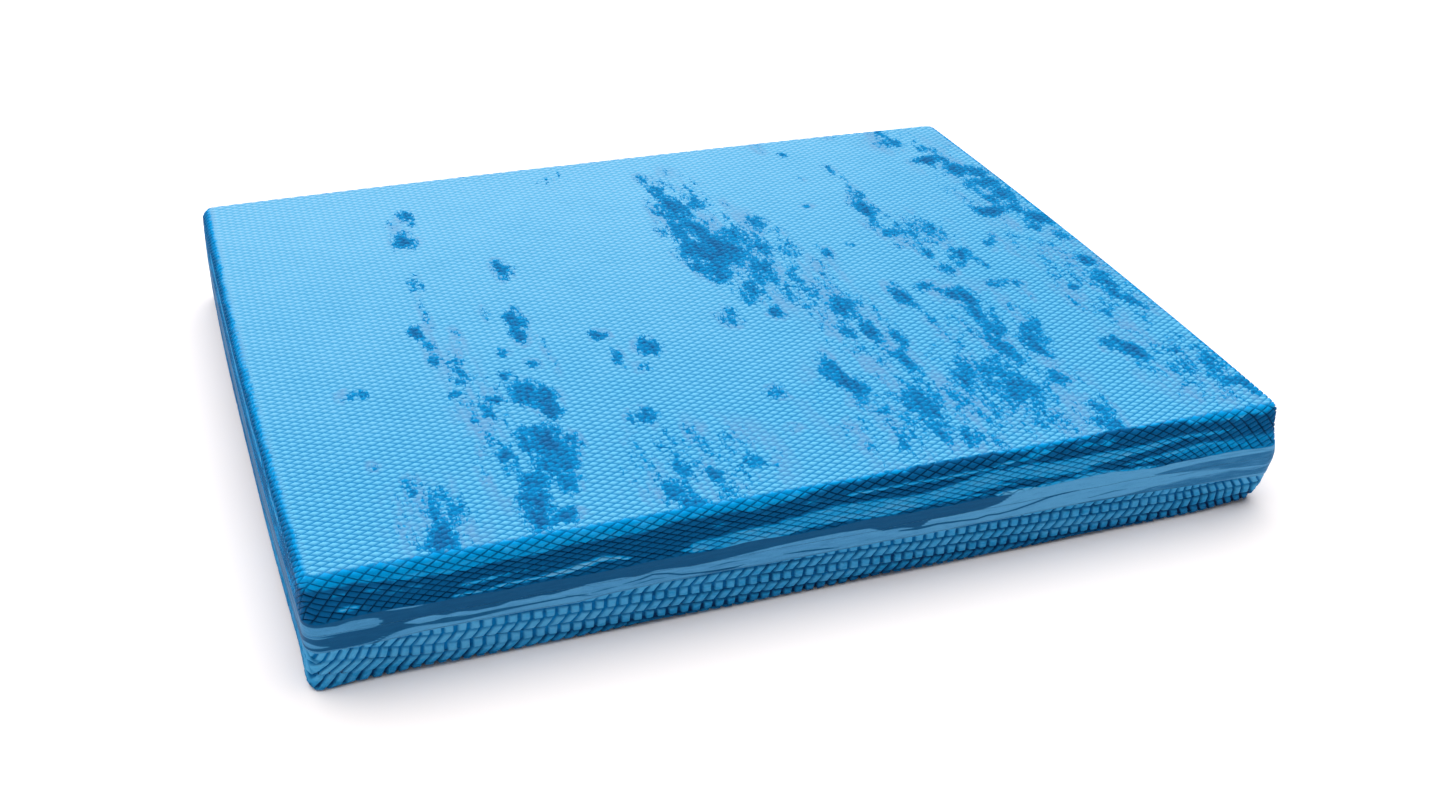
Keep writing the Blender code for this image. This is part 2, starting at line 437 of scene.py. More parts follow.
SCATTERS = (
    (110, 100, 12, 65, 0.26), (290, 345, 12, 30, 0.26), (304, 262, 22, 34, 0.34),
    (306, 212, 26, 26, 0.42), (322, 150, 18, 45, 0.28), (300, 60, 26, 45, 0.26), (340, 50, 14, 40, 0.34),
    (372, 62, 30, 44, 0.42), (395, 120, 24, 40, 0.30), (410, 248, 16, 24, 0.34), (480, 300, 24, 60, 0.26),
    (478, 150, 20, 50, 0.30), (474, 60, 22, 42, 0.32), (66, 30, 16, 26, 0.24), (195, 40, 34, 30, 0.24),
    (455, 390, 16, 20, 0.26),
)
TOP_MARKS = LEFT_MARKS + MIDDLE_MARKS + RIGHT_MARKS + FAR_RIGHT_MARKS + SCATTERS

# Bands and streaks along the front, in millimetres: tone, then (x, height, half thickness) at each bend
LOZENGE_BANDS = (
    # navy below the azure edge
    (1.0, (
        (-9, 41.2, 13.2), (12, 41.1, 13.1), (20, 41.3, 13.4), (30, 40.6, 12.6), (42, 39.8, 11.7),
        (66, 39.2, 11.3), (87, 40, 11.9), (103, 40.1, 12.2), (120, 40.6, 12.7), (153, 40.5, 12.5),
        (162, 41.2, 13.2), (171, 42, 13.8), (190, 41.8, 13.9), (203, 41.7, 13.6), (208, 40.8, 12.8),
        (214, 41.4, 13.4), (237, 42.5, 14.4), (248, 43.3, 15.3), (510, 43.3, 15.3),
    )),
    (0.42, ((244, 62.5, 3), (262, 61, 2.6), (280, 60.3, 1.5), (290, 61.5, 0.1))),
    (1.0, ((284, 56.6, 0.1), (293, 57.2, 3.2), (315, 57.3, 4.0), (335, 57.4, 2.7), (350, 57, 0.1))),
    (0.42, (
        (296, 62.5, 0.4), (330, 61.8, 0.9), (352, 60.2, 1.8), (366, 60.8, 2.4), (384, 62.4, 1.2),
        (392, 62.6, 0.1),
    )),
    # azure wedge that climbs towards the right
    (0.30, (
        (172, 39, 0.1), (183, 39.4, 2.7), (203, 40.2, 4.1), (220, 40.6, 4.2), (237, 42.6, 4.5),
        (250, 43.8, 4.6), (264, 43.2, 5.1), (278, 42.1, 4.9), (295, 42.1, 3.9), (311, 43.9, 3.6),
        (320, 44.9, 4.3), (328, 46.2, 5.1), (341, 47.0, 5.2), (357, 46.8, 5.0), (375, 46.2, 4.5),
        (387, 45.4, 4.7), (403, 47.8, 3.0), (420, 48.5, 2.5), (432, 49.8, 1.7), (445, 50.8, 1.4),
        (461, 50.7, 1.2), (475, 50.0, 0.7), (487, 49.9, 0.1),
    )),
    (0.36, ((348, 54.8, 0.4), (356, 55.8, 1.4), (364, 56.8, 1.3), (372, 57.4, 0.2))),
    # navy that returns at the right, with azure flecks in it
    (1.0, (
        (362, 54.4, 0.3), (370, 54.0, 3.0), (387, 54.2, 3.9), (404, 56.4, 5.2), (420, 56.2, 4.8),
        (445, 55.0, 2.2), (462, 54.2, 2.6), (480, 53.6, 2.8), (496, 53.0, 4.2), (510, 52.5, 4.5),
    )),
    (0.42, ((381, 56.5, 0.2), (388, 56.6, 1.3), (393, 56.2, 0.2))),
    (0.42, ((392, 55.4, 0.2), (399, 56.0, 1.5), (406, 55.7, 0.2))),
    (0.42, ((408, 60.5, 0.2), (420, 60.4, 1.3), (436, 60.6, 1.3), (446, 61, 0.2))),
    (0.42, ((447, 60.6, 3.4), (470, 60.4, 3.6), (482, 60.6, 3.2), (500, 60.8, 3.2), (510, 60.8, 3.2))),
    (0.14, (
        (464, 56.2, 0.1), (472, 56.5, 0.4), (477, 56.0, 0.45), (484, 56.4, 0.4), (491, 57.4, 0.35),
        (497, 56.6, 0.2),
    )),
    # pale row of lozenges through the navy
    (0.18, (
        (256, 53.4, 0.4), (268, 53.2, 0.6), (282, 53.1, 0.4), (300, 53.2, 0.7), (315, 52.9, 0.7),
        (328, 53.3, 0.6), (340, 54.2, 0.7), (348, 54.9, 0.3),
    )),
    (1.0, ((340, 51.4, 0.2), (352, 52.6, 0.9), (364, 53.8, 0.9), (374, 53.5, 0.4))),
    # navy row that climbs to the right end
    (1.0, (
        (386, 43.2, 0.2), (396, 43.0, 1.0), (408, 42.6, 1.2), (420, 43.4, 1.2), (432, 45.2, 1.8),
        (445, 47.6, 1.8), (454, 46.6, 1.8), (470, 46.2, 2.3), (487, 46.4, 3.0), (510, 46, 4.0),
    )),
    (0.62, ((436, 39.6, 0.4), (450, 39.9, 3.2), (470, 40.4, 4.3), (492, 40.2, 4.4), (510, 40.2, 4.6))),
    (0.30, (
        (410, 40.4, 0.2), (422, 40.9, 1.3), (436, 42.0, 1.3), (450, 43.6, 1.5), (459, 44.0, 0.9),
        (472, 42.4, 0.8), (484, 41, 0.2),
    )),
    (0.26, (
        (352, 36, 0.2), (368, 37.0, 1.8), (385, 38.4, 2.6), (400, 37.6, 2.2), (420, 36.8, 1.2),
        (436, 36, 0.2),
    )),
    (0.85, (
        (338, 44.4, 0.2), (346, 43.6, 1.0), (356, 42.0, 1.6), (366, 40.6, 1.6), (376, 39.2, 0.9),
        (386, 38.6, 0.2),
    )),
    (0.80, ((380, 40.6, 0.1), (390, 41.4, 0.8), (402, 40.0, 0.9), (412, 38.4, 0.6), (418, 37.6, 0.1))),
    (0.12, ((337, 37.2, 0.3), (346, 36.8, 1.6), (356, 36.6, 2.0), (364, 36.2, 0.5))),
    (0.3, ((298, 38.8, 0.1), (312, 39.1, 0.6), (330, 38.8, 0.7), (340, 39, 0.1))),
    # pale flecks in the navy
    (0.40, ((12, 49.7, 0.3), (18, 49.8, 0.9), (24, 49.3, 0.3))),
    (0.55, ((26, 49.4, 0.3), (32, 49.1, 0.7), (38, 48.6, 0.2))),
    (0.15, ((15, 40.4, 0.3), (20, 42.0, 0.9), (25, 41.6, 0.8), (30, 40.6, 0.2))),
    (0.50, ((33, 46.4, 0.3), (38, 46.4, 0.6), (43, 46.2, 0.2))),
    (0.50, ((47, 47.0, 0.3), (50, 47.0, 0.6), (53, 47.0, 0.2))),
    (0.22, ((68, 42.3, 0.2), (76, 43.2, 1.0), (83, 44.2, 0.8), (95, 44.6, 0.5), (108, 44.8, 0.2))),
    (0.12, (
        (66, 38.0, 0.3), (80, 38.1, 0.7), (92, 39.0, 0.9), (105, 39.3, 0.9), (120, 40.2, 1.4),
        (128, 41.6, 1.7), (135, 43.0, 1.2), (143, 42.2, 1.4), (149, 40.8, 0.3),
    )),
    (0.35, ((178, 41.8, 0.3), (186, 42.2, 0.9), (193, 42.6, 0.3))),
    (0.30, ((190, 49.8, 0.3), (194, 49.6, 0.5), (198, 49.3, 0.2))),
    (0.30, ((235, 51.9, 0.2), (238, 52.6, 0.5), (241, 53.3, 0.2))),
)
SMOOTH_BANDS = (
    # the dark upper half, ending in a wavy edge
    (0.95, (
        (-9, 33, 13), (16, 33, 13), (30, 33, 12.6), (36, 33, 9.6), (44, 33.4, 8.2), (56, 33.6, 7.6),
        (120, 34, 5.6), (128, 35.7, 5.0), (145, 35.7, 5.0), (153, 35.2, 5.4), (162, 35.6, 4.4),
        (170, 35.4, 4.8), (178, 35.2, 5.6), (191, 35.0, 5.2), (203, 35.3, 4.6), (220, 36, 4.3),
        (237, 36.6, 4.2), (254, 37, 4.4), (270, 36.6, 5.0), (278, 35.4, 6.6), (288, 33.4, 4.8),
        (297, 32.6, 6.2), (303, 33.6, 3.6), (316, 34.4, 4.6), (332, 35, 4.7), (341, 36, 4.0),
        (348, 36, 0.2),
    )),
    (0.22, (
        (-9, 32.0, 3.0), (10, 31.8, 2.6), (14, 31.7, 2.2), (20, 32.3, 2.8), (27, 32.0, 2.9),
        (32, 31.9, 2.3), (34.5, 31.9, 0.2),
    )),
    (0.25, ((-9, 28.4, 0.4), (6, 28.5, 0.5), (14, 28.3, 0.1))),
    (0.20, ((-9, 24.3, 1.6), (2, 24.2, 1.2), (10, 23.4, 0.2))),
    (0.15, ((-9, 21.2, 0.5), (8, 21.0, 0.6), (24, 20.8, 0.6), (30, 21.5, 0.4), (34, 23.4, 0.2))),
    (0.20, ((34, 37.6, 0.1), (39, 36.9, 0.4), (48, 36.6, 0.7), (56, 36.9, 0.1))),
    (0.08, (
        (30, 20.0, 0.2), (38, 21.6, 0.9), (46, 23.0, 1.9), (56, 23.6, 1.9), (66, 23.0, 1.9),
        (80, 23.0, 2.1), (120, 23.6, 2.6), (130, 23.6, 2.6),
    )),
    (0.08, (
        (44, 28.4, 0.2), (50, 28.2, 1.7), (57, 28.3, 1.6), (62, 27.9, 0.7), (68, 27.9, 1.2),
        (76, 27.3, 0.7), (86, 27.3, 0.8), (92, 28.2, 1.1), (100, 28.2, 0.9), (106, 27.6, 1.8),
        (112, 27.9, 0.8), (120, 28.2, 1.5), (126, 28.0, 2.4),
    )),
    (0.80, (
        (45, 26.0, 0.3), (56, 25.6, 0.5), (62, 25.4, 1.0), (72, 25.1, 1.1), (86, 25.6, 0.8),
        (100, 25.7, 0.5), (120, 25.6, 0.4), (128, 25.2, 0.1),
    )),
    # the pale lower half
    (0.80, ((118, 26.4, 0.1), (124, 25.2, 0.3), (130, 24.0, 0.1))),
    (0.70, ((130, 25.2, 0.1), (136, 25.8, 0.25), (143, 26.2, 0.1))),
    (0.90, (
        (146, 26.8, 0.1), (154, 27.7, 0.35), (160, 29.0, 0.4), (167, 28.1, 0.4), (174, 25.8, 0.4),
        (183, 24.9, 0.45), (192, 24.2, 0.5), (201, 24.1, 0.4), (206, 24.8, 0.1),
    )),
    (0.70, ((150, 25.0, 0.1), (160, 26.4, 0.3), (166, 25.8, 0.1))),
    (0.55, ((188, 26.6, 0.1), (197, 27.7, 0.3), (207, 27.3, 0.1))),
    (0.85, ((225, 26.2, 0.1), (236, 25.7, 0.45), (250, 24.4, 0.3), (254, 23.8, 0.1))),
    (0.90, (
        (286, 26.8, 0.3), (296, 26.1, 0.7), (307, 26.6, 0.5), (320, 25.8, 0.45), (329, 25.0, 0.45),
        (335, 26.0, 0.4), (341, 25.4, 0.4), (351, 26.1, 0.45), (359, 27.8, 0.5), (368, 29.7, 0.45),
        (377, 30.5, 0.35), (386, 30.7, 0.1),
    )),
    (0.45, (
        (386, 22.2, 0.2), (396, 22.0, 0.7), (410, 21.6, 0.3), (430, 22.0, 1.6), (460, 22.2, 2.4),
        (510, 22.4, 2.6),
    )),
    (0.70, ((393, 24.7, 0.1), (407, 25.9, 0.25), (416, 25.6, 0.1))),
    (0.46, (
        (430, 31.0, 0.2), (440, 31.2, 1.3), (452, 31.0, 2.0), (470, 30.0, 3.2), (490, 29.6, 4.0),
        (510, 29.4, 4.2),
    )),
    (0.28, ((440, 27.6, 0.2), (455, 28.2, 0.5), (470, 27.6, 0.2))),
    (0.20, (
        (430, 22.4, 0.2), (440, 23.6, 0.4), (453, 24.8, 0.4), (464, 23.6, 0.45), (476, 25.2, 0.45),
        (485, 24.3, 0.4), (491, 23.3, 0.4), (497, 24.8, 0.5), (501, 28.5, 0.5), (510, 30, 0.3),
    )),
    (0.15, ((444, 34.8, 0.2), (470, 34.9, 0.5), (492, 35.3, 0.5), (500, 33.5, 0.5), (510, 32, 0.3))),
)

# The same, as plain lines round the other three sides: tone, height, half thickness
OTHER_LOZENGE_LINES = (
    (0.10, 53.6, 0.6), (0.34, 50.4, 0.4), (0.70, 47.0, 1.6), (0.20, 43.2, 0.4), (0.62, 40.0, 1.2),
    (0.26, 37.6, 0.5),
)
OTHER_SMOOTH_LINES = (
    (0.24, 35.4, 0.5), (0.60, 33.0, 1.0), (0.16, 30.6, 0.4), (0.50, 27.6, 1.4), (0.20, 27.0, 0.5),
    (0.60, 22.6, 1.2),
)


def top_tone(points):
    """Marbling of the top: broad soft marks drawn out along Y, which the shader breaks up."""
    x = points[:, 0] / MM + LENGTH / MM / 2
    y = points[:, 1] / MM + WIDTH / MM / 2
    drift = rough_noise(stacked(x / 14, y / 22, 0), seed=31) - 0.5
    shift = rough_noise(stacked(x / 10, y / 14, 5), seed=37) - 0.5
    warped_x, warped_y = x + 5 * drift, y + 8 * shift
    tone = np.zeros(len(points))
    for mark_x, mark_y, half_width, half_length, strength in TOP_MARKS:
        away = np.hypot((warped_x - mark_x) / (half_width + 0.6), (warped_y - mark_y) / (half_length + 1.2))
        tone = np.maximum(tone, strength * np.clip(1.4 - 0.85 * away, 0, 1))
    return tone


def band_tone(along, height, bands, tone):
    """Lays bands over a tone, each in turn."""
    for level, knots in bands:
        bend, centre, half = np.array(knots).T
        middle = np.interp(along, bend, centre)
        thickness = np.interp(along, bend, half, left=-5, right=-5)
        tone = laid_over(tone, level, height - middle, thickness)
    return tone


def laid_over(tone, level, off_middle, half):
    weight = np.clip(0.5 + (half - np.abs(off_middle)) / 0.4, 0, 1)
    return tone + (level - tone) * weight


# How far round the corners the front's marbling gives way to that of the other sides, in millimetres
RIGHT_BLEND = 40
LEFT_BLEND = 25
AZURE_HEIGHT = 57.8  # the other sides are azure above this height, in millimetres, and slate below


def place_on_front(points):
    """Places round the pad as millimetres along the front, mirrored at every corner, and how far off it."""
    place = (round_place(points) / MM + CORNER_RADIUS / MM) % (PERIMETER / MM)
    long_side, short_side = LENGTH / MM, WIDTH / MM
    round_trip = 2 * (long_side + short_side)
    place = place * round_trip * MM / PERIMETER
    turns = (0, long_side, long_side + short_side, 2 * long_side + short_side, round_trip)
    along = np.interp(place, turns, (0, long_side, long_side - short_side, long_side, 0))
    past_right, before_left = long_side + RIGHT_BLEND, round_trip - LEFT_BLEND
    off_front = smooth_step(long_side, past_right, place) * smooth_step(round_trip, before_left, place)
    return along, off_front


def side_tone(points, bands, lines):
    """Marbling of the sides: bands along the front, plain lines round the rest."""
    along, off_front = place_on_front(points)
    spot = points / MM
    sway = rough_noise(spot / (45, 45, 30), seed=51, octaves=3) - 0.5
    fray = rough_noise(spot / (9, 9, 2.6), seed=53, octaves=3) - 0.5
    height = spot[:, 2] + 0.5 * fray
    # under the bands the front is azure above and pale below, palest at its right end
    pale = 0.14 - 0.14 * smooth_step(230, 380, along)
    on_front = band_tone(along, height, bands, np.where(height > 45, 0.42, pale))
    height = height + 6.0 * sway * smooth_step(59, 48, height)
    elsewhere = np.where(height > AZURE_HEIGHT, 0.56, 0.92)
    for level, middle, half in lines:
        elsewhere = laid_over(elsewhere, level, height - middle, half * (1 + fray))
    return on_front + (elsewhere - on_front) * off_front


def flank_share(points):
    """How far a point counts as side rather than top; the front's colour reaches furthest over the edge."""
    past_x, past_y = np.abs(points[:, 0]) - CORNER_X, np.abs(points[:, 1]) - CORNER_Y
    start = np.where((points[:, 1] < 0) & (past_y > past_x), 2.2 * MM, 3.4 * MM)
    return smooth_step(0, 1 * MM, np.maximum(past_x, past_y) - start)


def marbling(points):
    """Tone of the lozenge sheet: the top's marks, changing over the rounded edge to the sides' bands."""
    share = flank_share(points)
    return side_tone(points, LOZENGE_BANDS, OTHER_LOZENGE_LINES) * share + top_tone(points) * (1 - share)


# ---------------------------------------------------------------- building closed meshes

class Shell:
    """Vertices with tone and groove depth, and faces with their material, gathered into one closed mesh."""

    def __init__(self):
        self.points, self.tones, self.grooves = [], [], []
        self.faces, self.finishes = [], []
        self.count = 0

    def every_point(self):
        self.points = [np.concatenate(self.points)]
        return self.points[0]

    def add_points(self, points, tone, groove):
        first = self.count
        self.points.append(points)
        self.tones.append(np.broadcast_to(tone, len(points)).astype(float))
        self.grooves.append(np.broadcast_to(groove, len(points)).astype(float))
        self.count += len(points)
        return first

    def add_faces(self, faces, finish):
        self.faces.extend(faces)
        self.finishes.extend([finish] * len(faces))

    def close(self, loop, seam, side, drop_in=3 * MM):
        """Closes an open edge with a hidden flat face just above (side 1) or below (side -1) a seam."""
        points = self.every_point()
        points[loop, 2] += side * PLY_GAP / 2
        height = seam + side * PLY_GAP / 2
        x, y = on_perimeter(round_place(points[loop]), reach_at(height) - drop_in)
        inner = self.add_points(stacked(x, y, height), 0.5, 0.0)
        size = len(loop)
        rim = [
            (loop[i], loop[(i + 1) % size], inner + (i + 1) % size, inner + i)
            for i in range(size)
        ]
        self.add_faces(rim, CUT)
        self.add_faces([tuple(range(inner, inner + size))], CUT)

    def join(self, loop, ring, finish):
        """Fills the strip between an uneven open edge and a ring, both followed once round the pad."""
        points = self.every_point()
        loop, ring = in_order(points, loop), in_order(points, ring)
        loop_place, ring_place = unrolled(points, loop), unrolled(points, ring)
        faces = []
        i = j = 0
        while i < len(loop) or j < len(ring):
            step_loop = j >= len(ring) or (i < len(loop) and loop_place[i + 1] <= ring_place[j + 1])
            here, there = loop[i % len(loop)], ring[j % len(ring)]
            if step_loop:
                faces.append((here, loop[(i + 1) % len(loop)], there))
                i += 1
            else:
                faces.append((here, ring[(j + 1) % len(ring)], there))
                j += 1
        self.add_faces(faces, finish)

    def build(self, name, materials):
        mesh = bpy.data.meshes.new(name)
        points = self.every_point()
        flank = flank_share(points)
        points = settle(points)
        mesh.from_pydata(points.tolist(), [], self.faces)
        mesh.polygons.foreach_set("material_index", self.finishes)
        layers = (("tone", self.tones), ("groove", self.grooves), ("flank", [flank]))
        for title, values in layers:
            layer = mesh.attributes.new(title, "FLOAT", "POINT")
            layer.data.foreach_set("value", np.concatenate(values).astype(np.float32))
        for material in materials:
            mesh.materials.append(material)
        shape = bmesh.new()
        shape.from_mesh(mesh)
        bmesh.ops.recalc_face_normals(shape, faces=shape.faces)
        shape.to_mesh(mesh)
        shape.free()
        mesh.shade_smooth()
        piece = bpy.data.objects.new(name, mesh)
        bpy.context.scene.collection.objects.link(piece)
        return piece


def in_order(points, loop):
    """The loop, started at its lowest place along the perimeter and followed anticlockwise."""
    place = round_place(points[loop])
    start = int(np.argmin(place))
    loop = list(loop[start:]) + list(loop[:start])
    place = np.roll(place, -start)
    ahead = place[len(place) // 4] - place[0]
    if ahead > PERIMETER / 2:
        loop = [loop[0]] + loop[:0:-1]
    return loop


def unrolled(points, loop):
    """Places along the perimeter that keep growing from the loop's first point until it meets it again."""
    place = round_place(points[loop + [loop[0]]])
    steps = (np.diff(place) + PERIMETER / 2) % PERIMETER - PERIMETER / 2
    return place[0] + np.concatenate(([0], np.cumsum(steps)))


def open_loops(faces):
    """The open edges of a set of faces, as loops of vertices."""
    edges = set()
    for face in faces:
        edges.update(zip(face, face[1:] + face[:1]))
    following = {}
    for a, b in edges:
        if (b, a) not in edges:
            following.setdefault(a, []).append(b)
    loops = []
    while following:
        start = min(following)
        loop = [start]
        here = start
        while True:
            onward = following[here].pop()
            if not following[here]:
                del following[here]
            if onward == start:
                break
            loop.append(onward)
            here = onward
        loops.append(loop)
    return loops


def sheet_part(shell, sheet, keep, finish, end=None):
    """Adds the kept cells of a sheet to the shell, and returns their open loops, the highest first."""
    faces = [face for cell in np.flatnonzero(keep) for face in sheet.cells[cell]]
    used = np.unique([corner for face in faces for corner in face])
    renumber = np.full(len(sheet.points), -1)
    renumber[used] = np.arange(len(used))
    faces = [tuple(int(renumber[corner]) for corner in face) for face in faces]
    points, groove = sheet.points[used], sheet.groove[used]
    if end is not None:
        points, groove, faces = cut_level(points, groove, faces, end, sheet.side)
    tone = sheet.tone_at(points)
    first = shell.add_points(points, tone, groove)
    faces = [tuple(first + corner for corner in face) for face in faces]
    shell.add_faces(faces, finish)
    every = shell.every_point()
    return sorted(open_loops(faces), key=lambda loop: -every[loop, 2].mean())


def cut_level(points, groove, faces, end, side):
    """Cuts a sheet off at its wandering end height, where its grooves run out on to the smooth surface."""
    wander = end(round_place(points))
    shape = bmesh.new()
    layer = shape.verts.layers.float.new("groove")
    vertices = []
    for (x, y, z), depth in zip(points.tolist(), groove.tolist()):
        vertex = shape.verts.new((x, y, z))
        vertex[layer] = depth
        vertices.append(vertex)
    for vertex, lift in zip(vertices, wander.tolist()):
        vertex.co.z -= lift
    for face in faces:
        shape.faces.new([vertices[corner] for corner in face])
    for level, clear in ((side * 1.1 * MM, False), (0, True)):
        everything = shape.verts[:] + shape.edges[:] + shape.faces[:]
        bmesh.ops.bisect_plane(
            shape, geom=everything, dist=1e-6, plane_co=(0, 0, level), plane_no=(0, 0, -side),
            clear_outer=clear,
        )
    shape.verts.index_update()
    points = np.array([vertex.co[:] for vertex in shape.verts])
    groove = np.array([vertex[layer] for vertex in shape.verts])
    faces = [tuple(vertex.index for vertex in face.verts) for face in shape.faces]
    shape.free()
    at_end = np.abs(points[:, 2]) < 5e-6
    place = round_place(points)
    points[:, 2] += end(place)
    x, y = on_perimeter(place, reach_at(points[:, 2]))
    points[:, 0] = np.where(at_end, x, points[:, 0])
    points[:, 1] = np.where(at_end, y, points[:, 1])
    groove = np.where(at_end, 0, groove)
    return points, groove, faces


# ---------------------------------------------------------------- the two draped sheets

class Sheet:
    """Points of a draped sheet with their groove depth, and its cells with the height of their middles."""

    def __init__(self, points, groove, cells, heights, side, tone_at):
        self.points, self.groove, self.cells, self.heights = points, groove, cells, heights
        self.side, self.tone_at = side, tone_at


def lozenge_sheet():
    """The lozenge emboss: V grooves on two slanting families of lines, with a low crown between them."""
    reach = LOZENGE_SECTION.sheet_at(LOZENGE_END) + 1.5 * LOZENGE_LENGTH
    half_x, half_y = LOZENGE_LENGTH / 2, LOZENGE_WIDTH / 2
    columns = math.ceil((CORNER_X + reach) / half_x)
    rows = math.ceil((CORNER_Y + reach) / half_y)
    i, j = np.meshgrid(np.arange(-columns, columns + 1), np.arange(-rows, rows + 1), indexing="ij")
    near = np.maximum(np.abs(i) * half_x - CORNER_X, np.abs(j) * half_y - CORNER_Y) < reach
    number = np.full(i.shape, -1)
    is_node = ((i + j) % 2 == 0) & near
    number[is_node] = np.arange(is_node.sum())
    node_u, node_v = i[is_node] * half_x, j[is_node] * half_y
    inside = np.zeros(i.shape, bool)
    inside[1:-1, 1:-1] = True
    cell_i, cell_j = np.nonzero(((i + j) % 2 == 1) & inside)
    around = np.stack(
        [
            number[cell_i + 1, cell_j], number[cell_i, cell_j + 1],
            number[cell_i - 1, cell_j], number[cell_i, cell_j - 1],
        ],
        axis=1,
    )
    whole = (around >= 0).all(axis=1)
    cell_i, cell_j, around = cell_i[whole], cell_j[whole], around[whole]
    centre_u, centre_v = i[cell_i, cell_j] * half_x, j[cell_i, cell_j] * half_y
    random = np.random.default_rng(7)
    jitter = random.normal(0, 0.07 * MM, (2, len(node_u)))
    unevenness = random.normal(0, 0.03 * MM, len(centre_u))
    past = np.maximum(np.abs(centre_u) - CORNER_X, np.abs(centre_v) - CORNER_Y)
    plateau = TOP_PLATEAU + (SIDE_PLATEAU - TOP_PLATEAU) * smooth_step(0, 5 * MM, past)[:, None]
    inner_u = centre_u[:, None] + plateau * half_x * np.array((1, 0, -1, 0))
    inner_v = centre_v[:, None] + plateau * half_y * np.array((0, 1, 0, -1))
    u = np.concatenate((node_u + jitter[0], inner_u.ravel(), centre_u))
    v = np.concatenate((node_v + jitter[1], inner_v.ravel(), centre_v))
    lift = np.concatenate(
        (np.full(len(node_u), -LOZENGE_DEPTH), np.repeat(unevenness, 4), unevenness + LOZENGE_CROWN)
    )
    points = drape(LOZENGE_SECTION, u, v, lift - LOZENGE_CROWN)
    count = len(node_u)
    inner = count + np.arange(4 * len(centre_u)).reshape(-1, 4)
    middle = count + 4 * len(centre_u) + np.arange(len(centre_u))
    cells = []
    for corners, raised, top in zip(around.tolist(), inner.tolist(), middle.tolist()):
        faces = []
        for k in range(4):
            after = (k + 1) % 4
            faces.append((corners[k], corners[after], raised[after], raised[k]))
            faces.append((raised[k], raised[after], top))
        cells.append(faces)
    groove = np.concatenate((np.ones(count), np.zeros(5 * len(centre_u))))
    return Sheet(points, groove, cells, points[middle, 2], 1, marbling)


def tread_tone(points):
    """Tone of the tread: cloudy marbling, painted shade near the floor where the tread curves under, and
    darker towards the right and off the front.
    """
    along, off_front = place_on_front(points)
    height = points[:, 2] / MM
    cloud = rough_noise(points / (0.03, 0.03, 0.006), seed=61, octaves=3)
    # painted shade where the tread curves under towards the floor
    painted_floor_shade = smooth_step(9, 2, height + 5 * (rough_noise(points / (0.06, 0.06, 0.02), seed=67) - 0.5))
    right = smooth_step(100, 260, along) * 0.18
    return 0.5 * cloud + 0.5 * painted_floor_shade + right + 0.45 * off_front


def tread_rows(count):
    """Lines along the rows: their places across, their lift, which ones lean, and where each row starts."""
    v, lift, leaning, starts = [], [], [], []
    for row in range(-count, count + 1):
        low = row * ROW_PITCH
        steps = [(0, -ROW_DEPTH), (ROW_WALL, 0), (ROW_PITCH - ROW_WALL, 0)]
        if abs(low) > CORNER_Y - PLAIN_GROOVE_MARGIN:
            steps[1:2] = [(ROW_GROOVE, -ROW_DEPTH), (ROW_GROOVE + ROW_WALL, 0)]
        starts.append(len(v))
        v += [low + step for step, _ in steps]
        lift += [height for _, height in steps]
        leaning += [row % 2 == 1] * len(steps)
    return np.array(v), np.array(lift), np.array(leaning), starts


def turned(u, v):
    """Places on the sheet once it is turned askew."""
    return (
        u * math.cos(TREAD_TURN) - v * math.sin(TREAD_TURN),
        v * math.cos(TREAD_TURN) + u * math.sin(TREAD_TURN),
    )


